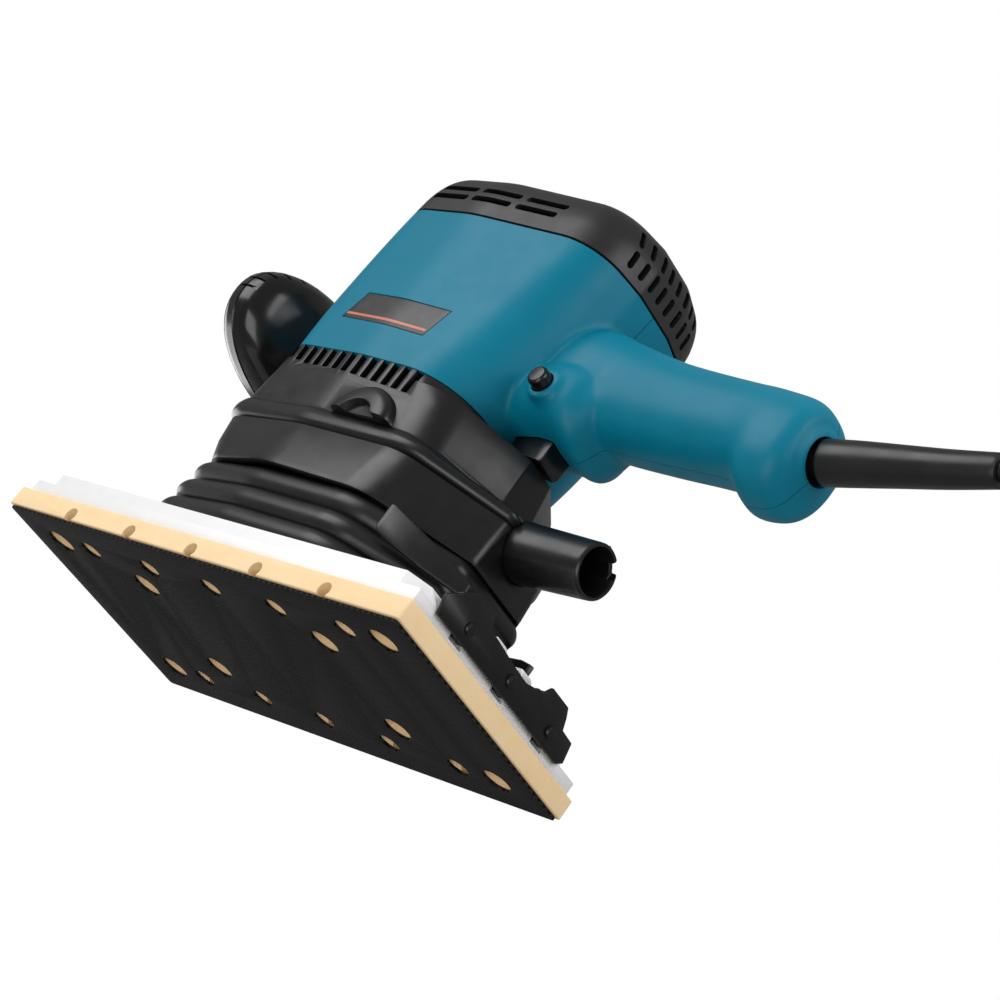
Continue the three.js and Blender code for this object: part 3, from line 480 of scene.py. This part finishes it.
def coil_points():
    """Eight turns in two layers, each a diameter from the next, wound clockwise."""
    d, turns, each = 2 * CORD_R, 8, 22
    radii = [1.5, 0.5, -0.5, -1.5, -1.5, -0.5, 0.5, 1.5]
    floors = [4.7] * 4 + [4.7 + d] * 4
    out = []
    for k in range(int(turns * each) + 1):
        turn = k / each
        n = min(int(turn), 7)
        share = turn - n
        after = min(n + 1, 7)
        step = min(max((share - 0.72) / 0.24, 0), 1)
        step = step * step * (3 - 2 * step)
        r = COIL_R + d * (radii[n] + (radii[after] - radii[n]) * step)
        z = floors[n] + (floors[after] - floors[n]) * step
        a = math.pi / 2 - 2 * math.pi * turn
        out.append((COIL[0] + r * math.cos(a), COIL[1] + r * math.sin(a), z))
    return out


def mains_cord():
    route = LEAD + coil_points() + TAIL
    data = bpy.data.curves.new("mains_cord", "CURVE")
    data.dimensions = "3D"
    data.bevel_depth, data.bevel_resolution, data.use_fill_caps = CORD_R * MM, 5, True
    data.resolution_u = 6
    line = data.splines.new("BEZIER")
    line.bezier_points.add(len(route) - 1)
    for point, place in zip(line.bezier_points, route):
        point.co = [v * MM for v in place]
        point.handle_left_type = point.handle_right_type = "AUTO"
    cord = linked("mains_cord", data)
    cord.data.materials.append(M["sheath"])
    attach(cord, "housing")
    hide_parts("power_cord", "cord_coil", "cord_tail")
    plug = fitted(finished_copy("plug_body", "plug_shell", 0.8), "housing", "rubber", "rubber", "plug_body")
    tie = fitted(finished_copy("coil_tie", "coil_strap", 0.2), "housing", "rubber", "rubber", "coil_tie")
    pins = [fitted(finished_copy(f"plug_pin_{i}", f"plug_prong_{i}", 0.6), "housing", "brass", "brass",
                   f"plug_pin_{i}") for i in (1, 2)]


# ---- housings --------------------------------------------------------------------------
BODY = [
    [SEAM_LOW - 5, -50.2, SIDE - 0.4, 11, -8, SIDE + 0.4, 60, 37.6, SIDE - 4, 28, 41.6, 12, 3],
    [SEAM_LOW, -50.6, SIDE - 0.4, 11, -8, SIDE + 0.4, 60, 38.6, SIDE - 4, 28, 42.6, 12, 3],
    [125, -51.8, SIDE - 0.4, 12, -8, SIDE + 0.4, 60, 44.4, SIDE - 5, 29, 49, 12, 4],
    [150, -52.4, SIDE - 1, 14, -8, SIDE + 0.4, 60, 49, SIDE - 6.4, 28, 55, 12, 5],
    [172, -51.8, SIDE - 1, 16, -8, SIDE + 0.2, 60, 52.5, SIDE - 7.6, 24, 58.8, 12, 6],
    [SEAM_TOP, -51, SIDE - 1, 17, -8, SIDE + 0.2, 60, 54, SIDE - 8.2, 24, 60.4, 12, 6],
    [SEAM_TOP + 5, -50.6, SIDE - 1, 17, -8, SIDE + 0.2, 60, 54.6, SIDE - 8.6, 24, 61, 12, 6],
]
HANDLE = [  # x, bottom, top, half width
    [30, 114, 160, 19], [48, 114.5, 164, 20.5], [62, 115, 167, 21.5], [72, 115.5, 165, 20],
    [80, 119.2, 163.4, 18.4], [98, 118.8, 159.6, 18], [115, 118.4, 157.4, 18], [140, 118, 155.4, 18],
    [148, 116, 155, 18.4], [156, 109.4, 154.4, 19], [166, 109.2, 153, 18.6], [171, 112.5, 150.4, 17],
    [174, 119, 146, 14]]
BULGE = [[40, 110, 140, 19], [47, 112.4, 143, 22.4], [57, 114, 145, 24.2], [66, 113, 146, 24.2],
         [73, 110.8, 146, 22], [77, 112.4, 146, 19], [81, 118, 146, 17]]
LOCK = (61.5, 126)
SCREWS = [(-38, 115, SIDE - 1.6), (-38, 168, SIDE - 2), (43, 158, 38.4), (97, 138, 17.4), (148, 136, 17.6)]


def half_shell(whole, side, name):
    """One half of the housing skin, opened at both seams and given its wall."""
    piece = linked(name, whole.data.copy())
    select_only(piece)
    bpy.ops.object.mode_set(mode="EDIT")
    for place, normal in [((0, 0, (SEAM_LOW + 0.15) * MM), (0, 0, -1)),
                          ((0, 0, (SEAM_TOP - 0.15) * MM), (0, 0, 1)),
                          ((0, side * 0.15 * MM, 0), (0, -side, 0))]:
        bpy.ops.mesh.select_all(action="SELECT")
        bpy.ops.mesh.bisect(plane_co=place, plane_no=normal, clear_outer=True, use_fill=False)
    bpy.ops.object.mode_set(mode="OBJECT")
    return apply_modifier(piece, "SOLIDIFY", thickness=WALL * MM, offset=-1)


def motor_housing():
    parts = [
        skin("body", [outline(row, 0, 12) for row in eased(BODY, 4)]),
        skin("handle", [oval(x, (a + b) / 2, h, (b - a) / 2) for x, a, b, h in eased(HANDLE, 4)]),
        skin("bulge", [oval(x, (a + b) / 2, h, (b - a) / 2) for x, a, b, h in eased(BULGE, 4)]),
        cylinder("boss", 6.8, 10, (LOCK[0], -25.4, LOCK[1]), "y"),
        cylinder("collar", 10.8, 6, (169.6, 0, GUARD_Z), "x"),
    ]
    whole = joined("housing_core", parts)
    apply_modifier(whole, "REMESH", mode="VOXEL", voxel_size=1.05 * MM, adaptivity=0)
    apply_modifier(whole, "SMOOTH", factor=0.6, iterations=9)
    halves = {-1: half_shell(whole, -1, "housing_half_left"), 1: half_shell(whole, 1, "housing_half_right")}
    bpy.data.objects.remove(whole)
    for side, piece in halves.items():
        cutters = [block("bay", (44.8, 65.4), (-7, 7), (100, 124), 0.8, "z"),
                   cylinder("guard_bore", 9.0, 20, (166, 0, GUARD_Z), "x")]
        if side < 0:
            cutters.append(cylinder("lock_bore", 4.7, 12, (LOCK[0], -30, LOCK[1]), "y"))
            cutters.append(along_flank("label_seat", LABEL_LOW, LABEL_HIGH, 4, 1.5, 0.3))
        else:
            cutters += [cylinder("screw_well", 3.9, 12, (x, y - 3.6, z), "y") for x, z, y in SCREWS]
        cut_away(piece, *cutters)
        smooth(piece, 38)
        fitted(piece, "housing", "teal", "teal_plastic", "motor_housing_" + ("left" if side < 0 else "right"))


LABEL_LOW, LABEL_HIGH = (-33, 124.2, 13, 123), (-28.6, 137.2, 17.4, 136.4)


def flank(x):
    """Half width of the housing behind the label: it bows out to its widest at x = -8."""
    t = x + 8
    return SIDE + 0.3 - 0.042 * t - 0.061 * (math.sqrt(t * t + 9) - 3)


def along_flank(name, low, high, out, deep, grow=0.0, steps=20):
    """A slab that follows the flank between two sloping lines (x, z, x, z)."""
    rings = []
    for k in range(steps + 1):
        f = k / steps
        wide = (2 * f - 1) * grow
        x, u = low[0] + (low[2] - low[0]) * f + wide, high[0] + (high[2] - high[0]) * f + wide
        z, w = low[1] + (low[3] - low[1]) * f - grow, high[1] + (high[3] - high[1]) * f + grow
        rings.append([(x, -flank(x) - out, z), (x, -flank(x) + deep, z), (u, -flank(u) + deep, w),
                      (u, -flank(u) - out, w)])
    return skin(name, rings)


def label():
    plate = along_flank("label_plate", LABEL_LOW, LABEL_HIGH, -0.15, 1.3)
    fitted(edges_broken(plate, 0.25, 50), "housing", "label", "label", "name_plate")
    line = along_flank("label_line", (-32.2, 125.9, 12.6, 124.8), (-31.8, 127, 13, 125.9), -0.08, 0.4)
    fitted(smooth(line), "housing", "line", "label")


SKIRT = [  # from the rim to the groove under the bead
    [RIM_Z, -52, SIDE - 3.5, 16, -8, SIDE + 6, 60, 45, SIDE + 2, 27, 81.6, 17, 5],
    [RIM_Z + 2, -53, SIDE - 3.2, 16, -8, SIDE + 6, 60, 45.2, SIDE + 1.8, 27, 81.6, 17, 5],
    [RIM_Z + 9, -57, SIDE - 3, 16, -8, SIDE + 4.5, 60, 46, SIDE + 1, 26, 81.4, 16.4, 5],
    [RIM_Z + 20.6, -60.4, SIDE - 3, 16, -9, SIDE + 2.6, 60, 47, SIDE - 0.2, 24, 81, 15, 5],
    [RIM_Z + 21.2, -59, SIDE - 4.4, 15, -9, SIDE + 1.2, 60, 46.2, SIDE - 1.6, 23, 80, 14.2, 5]]
BEAD = [  # rounded ledge all round
    [RIM_Z + 21.5, -59.4, SIDE - 4, 15, -9, SIDE + 1.6, 60, 46.4, SIDE - 1.2, 23, 80.2, 14.4, 5],
    [RIM_Z + 23, -62.2, SIDE - 2.2, 16, -9, SIDE + 2.8, 60, 47.8, SIDE + 0.2, 24, 81.5, 15, 5],
    [RIM_Z + 26, -62.6, SIDE - 1.8, 16, -9, SIDE + 3, 60, 48, SIDE + 0.4, 24, 81.2, 14.6, 5],
    [RIM_Z + 28.6, -60.8, SIDE - 1.8, 15, -9, SIDE + 2, 60, 47, SIDE - 1.4, 23, 74, 11.4, 4],
    [RIM_Z + 30.6, -58.2, SIDE - 1.8, 14, -9, SIDE + 0.2, 60, 45.4, SIDE - 4, 22, 65, 9, 3],
    [RIM_Z + 32.6, -57.6, SIDE - 1.6, 14, -9, SIDE, 60, 45, SIDE - 4.4, 22, 64.6, 9, 3]]
MOTOR_END = [
    [SEAM_LOW - 4.9, -52.6, SIDE - 0.6, 12, -9, SIDE + 0.2, 60, 39.8, SIDE - 4.4, 26, 62.4, 7.4, 2.4],
    [SEAM_LOW - 4.6, -52.4, SIDE - 0.6, 12, -9, SIDE + 0.2, 60, 39.6, SIDE - 4.4, 26, 43.6, 13, 3],
    [SEAM_LOW - 0.15, -51, SIDE - 0.4, 11, -9, SIDE + 0.4, 60, 38.6, SIDE - 4.2, 28, 42.6, 12, 3]]


def lower_housing():
    plain = []
    for z in (SEAM_LOW - 14, SEAM_LOW - 12.2):  # short faces just under the vents
        f = (z - BEAD[-1][0]) / (MOTOR_END[0][0] - BEAD[-1][0])
        plain.append([a + (b - a) * f for a, b in zip(BEAD[-1], MOTOR_END[0])])
    levels = SKIRT + eased(BEAD, 4) + plain + MOTOR_END
    piece = skin("skirt_housing", [outline(row, 0, 14) for row in levels])
    cut_away(piece, block("trigger_way", (43.3, 90), (-7.4, 7.4), (SEAM_LOW - 4.3, 112)))
    for side in (-1, 1):
        # half-moon hood above the bead: a domed disc, cut level below and scooped underneath
        dome = spun("blister", [(0, -4), (16, -4), (16, 1.6), (15.6, 3.2), (14.4, 4.4), (12.4, 5.2), (9, 5.6),
                                (0, 5.6)], (15, side * 44.8, 78.5), "y", 72, side)
        cut_away(dome, block("level", (-10, 40), (-60, 60), (40, 81.4)))
        scoop = spun("scoop", [(0, 2.3), (9.4, 2.3), (10.6, 9), (0, 9)], (15, side * 44.8, 76.5), "y", 56,
                     side)
        cut_away(dome, scoop)
        cut_away(piece, dome, operation="UNION")
    inner = [[z, *rest] for z, *rest in SKIRT[:1] + SKIRT[2:4] + BEAD[1:3] + BEAD[5:] + MOTOR_END]
    inner[0][0] = RIM_Z - 1
    inner[-3][0], inner[-2][0], inner[-1][0] = SEAM_LOW - 7.6, SEAM_LOW - 7.2, SEAM_LOW + 1
    cut_away(piece, skin("hollow", [outline(row, 2.6, 14) for row in inner]))
    cut_away(piece, cylinder("nozzle_seat", 11.9, 24, (74, 0, 69.2), "x", 56))
    slots = []
    for i in range(13):
        x = -46 + i * 5.7
        z0 = SEAM_LOW - 8.6 - max(i - 5, 0) * 0.35 + max(2 - i, 0)
        for side in (-1, 1):
            y = (41, 56) if side > 0 else (-56, -41)
            slots.append(block("slot", (x - 0.2, x + 3.2), y, (z0, SEAM_LOW + 2), 0.7, "y", 2))
    cut_away(piece, *slots)
    edges_broken(piece, 0.35, 50, 2)
    fitted(piece, "housing", "black", "black_plastic", "lower_housing")


CAP = [
    [SEAM_TOP + 0.75, -50.8, SIDE - 1, 17, -8, SIDE + 0.4, 60, 54.2, SIDE - 8, 24, 60.6, 12, 6],
    [194, -50, SIDE - 2, 17, -8, SIDE - 0.8, 60, 53.6, SIDE - 9, 24, 60.8, 12, 6],
    [203, -47.5, SIDE - 5, 16, -8, SIDE - 4, 60, 50.6, SIDE - 12, 22, 58.2, 11, 6],
    [208.4, -43, SIDE - 10, 15, -8, SIDE - 9, 60, 45.6, SIDE - 17, 20, 53.2, 9, 5],
    [211.6, -35, SIDE - 18, 13, -8, SIDE - 17, 50, 39, SIDE - 24.4, 15, 46, 7, 4],
    [213, -24, SIDE - 29, 8, -8, SIDE - 28.4, 30, 27, SIDE - 34, 7, 32, 4, 2],
]


def top_cover():
    piece = skin("vent_cover", [outline(row, 0, 12) for row in eased(CAP, 5)], (False, True))
    apply_modifier(piece, "SOLIDIFY", thickness=WALL * MM, offset=-1)
    slots = []
    for i in range(3):
        x = -38.6 + i * 23.2
        for side in (-1, 1):
            y = (38, 54) if side > 0 else (-54, -38)
            slots.append(block("slot", (x, x + 20.4), y, (190, 193), 1.3, "y", 4))
            slots.append(block("slot", (x + 1.4, x + 21.8), y, (195.4, 198.4), 1.3, "y", 4))
    for i in range(8):
        y = -24.5 + i * 6.4
        slots.append(block("slot", (50, 70), (y + 0.3, y + 3), (SEAM_TOP + 4, 194.6), 1.4, "x", 4))
        slots.append(block("slot", (44, 70), (y + 0.3, y + 3), (196.6, 204), 1.4, "x", 4))
    cut_away(piece, *slots)
    smooth(piece, 36)
    fitted(piece, "housing", "cap", "cover_plastic", "top_cover")


def dust_nozzle():
    piece = spun("nozzle_tube", [(9, 0), (11.6, 0), (11.5, 3), (11.3, 6), (10.5, 36), (10.4, 37.3), (9.9, 38),
                                 (9.1, 38), (8.6, 37.2), (9, 0)], (79, 0, 69.2), "x", 72)
    notch = block("notch", (114, 119), (4.4, 8.6), (72.2, 81.2), 0.4, "z", 2)
    cut_away(piece, notch)
    ridge = block("top_rib", (83, 115), (-0.5, 0.5), (79.4, 80.5), 0.3, "x", 2)
    cut_away(piece, ridge, operation="UNION")
    smooth(piece, 36)
    fitted(piece, "housing", "black", "black_plastic", "dust_nozzle")


def bellows():
    z0, z1, rings = BASE_TOP + 0.8, RIM_Z - 0.3, []
    for k in range(37):
        f = k / 36
        fold = -1.1 + 2.7 * abs(math.sin(3 * math.pi * f)) ** 0.6
        corners = [(-56.4 + 2.4 * f - fold, 46 - 3.6 * f + fold, 16), (-8, 50.4 - 1.6 * f + fold, 60),
                   (44, 48.4 - 1.4 * f + fold, 26), (81 + fold, 20 - 1.5 * f + fold, 9)]
        both = [(x, -y, r) for x, y, r in corners] + [(x, y, r) for x, y, r in reversed(corners)]
        rings.append([(x, y, z0 + (z1 - z0) * f) for x, y in rounded(both, 10)])
    piece = skin("bellows_folds", rings, (False, False))
    apply_modifier(piece, "SOLIDIFY", thickness=2 * MM, offset=-1)
    fitted(smooth(piece, 50), "housing", "rubber", "rubber", "bellows_skirt")


def palm_grip():
    rows = eased([[-52.8, 20, 20], [-64, 16.5, 16.5], [-74, 19, 17.5], [-82, 32, 21.5], [-86.5, 42, 24.2],
                  [-91, 47.4, 25.8], [-96.2, 48.9, 26.3]], 4)
    rows += [[-96.6, 48.4, 25.9], [-97.2, 48.4, 25.9], [-97.6, 48.9, 26.3]]
    rows += eased([[-100, 48.6, 26.1], [-103.4, 47.6, 25.6], [-109, 42.6, 22.6], [-113, 34, 17],
                   [-114.6, 20, 9]], 4)
    piece = skin("palm_grip", [oval(x, 129, hy, hz, 2.2, 72) for x, hy, hz in rows])
    grooves = []
    for side in (-1, 1):
        for i in range(6):
            a = math.radians(2 + i * 11)
            groove = block("groove", (-113, -87), (-1.7, 1.7), (-0.65, 0.65), 0.5, "x", 2)
            turn = Matrix.Rotation(side * a, 4, "X")
            shift = Matrix.Translation((0, side * 49.2 * math.cos(a) * MM, (129 + 26.6 * math.sin(a)) * MM))
            groove.data.transform(shift @ turn)
            grooves.append(groove)
    cut_away(piece, *grooves)
    fitted(smooth(piece, 36), "housing", "grip", "black_plastic", "front_grip")


# ---- pad ---------------------------------------------------------------------------------
def holes():
    small = [(i * 0.1635 * PAD_L, s * 0.348 * PAD_W, 4.7) for i in range(-2, 3) for s in (-1, 1)]
    big = [(s * a * PAD_L, t * b * PAD_W, 6) for s in (-1, 1) for t in (-1, 1)
           for a, b in ((0.4145, 0.348), (0.23, 0.222))]
    return small, big


def pad_sheets():
    small, big = holes()
    foam = block("foam_block", (-PAD_L / 2, PAD_L / 2), (-PAD_W / 2, PAD_W / 2), (1.3, 9.5), 1.2, "z")
    edges_broken(foam, 0.4, 60)
    drills = [cylinder("drill", r, 12, (x, y, -1), "z", 40) for x, y, r in small + big]
    cut_away(foam, *drills)
    dust = []
    for x, y, r in small:
        reach = PAD_W / 2 + 2 - abs(y)
        dust.append(cylinder("dust_way", 3, reach, (x, y if y > 0 else -PAD_W / 2 - 2, 3.5), "y", 28))
    cut_away(foam, *dust)
    fitted(smooth(foam, 40), "pad", "foam", "foam", "foam_pad")
    sole = block("hook_face", (-PAD_L / 2 + 1.2, PAD_L / 2 - 1.2), (-PAD_W / 2 + 0.9, PAD_W / 2 - 0.9),
                 (0, 1), 1.5, "z")
    cut_away(sole, *[cylinder("drill", r, 4, (x, y, -1.5), "z", 48) for x, y, r in small + big])
    fitted(edges_broken(sole, 0.12, 60, 2), "pad", "sole", "hook_sheet", "hook_sheet")


CLIP_X, PIN_X, PIN_Z, STUD_Z = PAD_L / 2 - 2.2, PAD_L / 2 - 7.5, BASE_TOP + 5, 19.4
CLIP_EDGE = [(-44, 13.4), (40, 13.4), (43, 15.8), (41, 23.3), (33.8, 23.7), (31.8, 27.7), (29.6, 30.7),
             (18.4, 30.7), (16, 26.7), (6.5, 23.7), (-3, 24.1), (-21.4, 25.7), (-23.6, 30.7),
             (-34.6, 30.7), (-42.4, 23.7), (-46.4, 20.5)]


def paper_clip(end):
    """Pressed clip: blanked plate with broken edges, three studs and teeth, two rolled knuckles."""
    plate = skin("clip", [[(x, y, z) for y, z in CLIP_EDGE] for x in (CLIP_X, CLIP_X + 1.6)])
    edges_broken(plate, 0.35, 30, 2)
    parts = [plate]
    for y0, y1 in ((-35, -23.4), (18.4, 29.8)):
        tab = block("tab", (PIN_X - 1, CLIP_X + 0.8), (y0, y1), (PIN_Z + 1.6, PIN_Z + 3.4))
        parts.append(edges_broken(tab, 0.3))
        parts.append(spun("knuckle", [(1.75, 0), (3.5, 0), (3.8, 0.3), (3.8, y1 - y0 - 0.3), (3.5, y1 - y0),
                                      (1.75, y1 - y0), (1.75, 0)], (PIN_X, y0, PIN_Z), "y", 40))
    for y in (-29, 0, 29):
        parts.append(spun("stud", [(0, 0), (2.6, 0), (2.6, 1.4), (2.2, 2), (1.4, 2.2), (0, 2.2)],
                          (CLIP_X + 0.8, y, STUD_Z), "x", 32))
        tooth = block("tooth", (CLIP_X - 2, CLIP_X + 0.8), (y - 2.6, y + 2.6), (13.4, 15))
        parts.append(edges_broken(tooth, 0.3))
    piece = joined("paper_clip_" + end, parts)
    if end == "front":
        piece.data.transform(Matrix.Rotation(math.pi, 4, "Z"))
    fitted(smooth(piece, 32), "clamp_" + end, "clamp", "black_steel", "paper_clamp_" + end)


def pad_metal():
    fitted(finished_copy("pad_base", "cast_base", 0.4, 40), "pad", "alu", "cast_aluminium", "pad_base")
    for end in ("front", "rear"):
        paper_clip(end)
        fitted(finished_copy("clamp_pin_" + end, "hinge_pin_" + end, 0.3), "pad", "steel", "steel",
               "clamp_pin_" + end)
    for side in ("left", "right"):
        fitted(finished_copy("skirt_arm_" + side, "skirt_strap_" + side, 0.5), "housing", "black",
               "black_plastic", "skirt_arm_" + side)


# ---- controls and screws -------------------------------------------------------------------
def controls():
    fitted(finished_copy("trigger", "trigger_lever", 0.6, 30, 3), "trigger", "button", "black_plastic",
           "trigger")
    fitted(finished_copy("lock_button", "lock_knob", 0.5, 30, 3), "lock_button", "button", "black_plastic",
           "lock_button")
    rings = []
    path = eased([[177.2, 132.6, 8.3], [190.2, 134.6, 8.0], [205.7, 136.8, 7.4], [224.3, 139.4, 6.7],
                  [243, 142.6, 6.0]], 6)
    for i, (x, z, r) in enumerate(path):
        a, b = path[max(i - 1, 0)], path[min(i + 1, len(path) - 1)]
        slope = Vector((b[0] - a[0], b[1] - a[1])).normalized()
        rings.append([(x - slope.y * r * math.sin(q), r * math.cos(q), z + slope.x * r * math.sin(q))
                      for q in [2 * math.pi * k / 48 for k in range(48)]])
    guard = skin("strain_relief", rings)
    root = cylinder("root", 6, 14, (164.5, 0, GUARD_Z), "x")
    cut_away(guard, root, operation="UNION")
    fitted(edges_broken(guard, 0.6, 50), "housing", "rubber", "rubber", "cord_guard")


def screws():
    head = spun("screw", [(0, -22), (1.9, -22), (1.9, -1), (3.5, -1), (3.5, 0.9), (3.1, 1.4), (0, 1.4)],
                (0, 0, 0), "y", 40)
    cut_away(head, block("slot_a", (-2.4, 2.4), (-0.2, 2), (-0.5, 0.5)))
    cut_away(head, block("slot_b", (-0.5, 0.5), (-0.2, 2), (-2.4, 2.4)))
    smooth(head, 36)
    for i, (x, z, y) in enumerate(SCREWS):
        node = f"housing_screw_{i + 1}"
        piece = linked(f"cross_screw_{i + 1}", head.data.copy())
        piece.data.transform(Matrix.Translation((x * MM, (y - 2.4) * MM, z * MM)))
        fitted(piece, "housing", "steel", "steel", node)
    bpy.data.objects.remove(head)


INSIDE = {
    "armature_shaft": "steel", "counterweight": "core", "fan": "nylon", "armature_core": "core",
    "commutator": "copper", "bearing_upper": "steel", "bearing_lower": "steel", "eccentric_bearing": "steel",
    "stator_core": "core", "field_coil_left": "copper", "field_coil_right": "copper",
    "brush_holder_left": "brass", "brush_holder_right": "brass", "carbon_brush_left": "carbon",
    "carbon_brush_right": "carbon", "switch_body": "button", "grip_bolt": "steel",
}


def inner_parts():
    for node, material in INSIDE.items():
        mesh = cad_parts[node].data
        mesh.materials.clear()
        mesh.materials.append(M[material])


M = make_materials()
place_camera()
light_studio()
lay_floor()
mains_cord()
motor_housing()
label()
lower_housing()
top_cover()
dust_nozzle()
bellows()
palm_grip()
pad_sheets()
pad_metal()
controls()
screws()
inner_parts()
